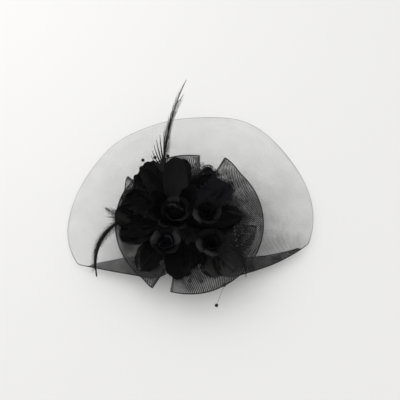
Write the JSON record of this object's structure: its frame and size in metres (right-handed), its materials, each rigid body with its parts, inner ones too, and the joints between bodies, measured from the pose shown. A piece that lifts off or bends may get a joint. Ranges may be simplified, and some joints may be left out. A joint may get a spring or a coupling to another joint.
{
  "type": "fascinator headpiece",
  "caption": "Headpiece with a sheer net brim, crin half rings and a fabric flower with feathers and beads, on a sprung hair clip and brooch pin.",
  "frame": {"origin": "middle of the base, on the gripping face of the hair clip's upper jaw", "axes": "+Z the way the flower faces, +Y up the face towards the tall feather, +X along the brim's width"},
  "size_m": [0.3014, 0.2851, 0.0669],
  "materials": {
    "clip_steel": "nickel-plated spring steel, lightly brushed",
    "spring_steel": "bright drawn wire",
    "pin_steel": "nickel-plated brass, polished",
    "felt": "black wool felt, matt",
    "buckram": "black sinamay over buckram, open weave, stiffened",
    "net": "sheer black crinoline net, fine open mesh",
    "hem": "rolled net edge, stitched",
    "crin": "black horsehair braid, diagonal open weave, slight gloss",
    "cord": "twisted selvage cord of the braid",
    "satin": "black satin, soft gloss",
    "velvet": "black velvet, deep matt with a pile sheen",
    "organza": "black organza, sheer and crisp",
    "lace": "black corded lace",
    "bead": "black glass-like bead, high gloss",
    "wire": "thin black covered wire",
    "feather": "black-dyed cock hackle, satin sheen on the barbs"
  },
  "bodies": {
    "root": {"base_disc": "buckram", "bead_wires": "wire", "beads": "bead", "bloom_left_bud": "satin", "bloom_left_petals": "satin", "bloom_right_bud": "satin", "bloom_right_petals": "satin", "bloom_top_bud": "satin", "bloom_top_petals": "satin", "brooch_catch_housing": "pin_steel", "brooch_hinge_bracket": "pin_steel", "brooch_rivet": "pin_steel", "clip_hinge_pin": "clip_steel", "clip_plate": "clip_steel", "clip_spring": "spring_steel", "clip_upper_jaw": "clip_steel", "crin_edge_cords": "cord", "crin_left": "crin", "crin_right": "crin", "crin_tab": "crin", "crin_top": "crin", "feather_curl_left": "feather", "feather_lower_right": "feather", "feather_short_left": "feather", "feather_tall": "feather", "feather_tip_right": "feather", "felt_backing": "felt", "flower_centre": "velvet", "flower_core": "velvet", "inner_petal_1": "velvet", "inner_petal_2": "velvet", "inner_petal_3": "velvet", "inner_petal_4": "velvet", "inner_petal_5": "velvet", "lace_tufts": "lace", "lower_petal_1": "velvet", "lower_petal_2": "velvet", "middle_petal_1": "satin", "middle_petal_2": "satin", "middle_petal_3": "satin", "middle_petal_4": "satin", "middle_petal_5": "satin", "middle_petal_6": "satin", "organza_petal_1": "organza", "organza_petal_2": "organza", "outer_petal_1": "satin", "outer_petal_10": "satin", "outer_petal_2": "satin", "outer_petal_3": "satin", "outer_petal_4": "satin", "outer_petal_5": "satin", "outer_petal_6": "satin", "outer_petal_7": "satin", "outer_petal_8": "satin", "outer_petal_9": "satin", "veil": "net", "veil_hem": "hem"},
    "clip_fork_body": {"clip_fork": "clip_steel"},
    "needle_body": {"brooch_needle": "pin_steel"},
    "catch_body": {"brooch_catch_barrel": "pin_steel"}
  },
  "joints": [
    {"name": "clip_open", "type": "hinge", "parent": "root", "child": "clip_fork_body", "pos_m": [-0.024, 0, -0.0055], "axis": [0, 1, 0], "range_deg": [0, 22], "stiffness_Nm_per_rad": 0.03, "springref_deg": -34.38, "deforming": ["clip_spring"]},
    {"name": "needle_swing", "type": "hinge", "parent": "root", "child": "needle_body", "pos_m": [0.013, 0.012, -0.0032], "axis": [0, -1, 0], "range_deg": [0, 100]},
    {"name": "catch_turn", "type": "hinge", "parent": "root", "child": "catch_body", "pos_m": [-0.012, 0.012, -0.0032], "axis": [1, 0, 0], "range_deg": [0, 120]}
  ]
}
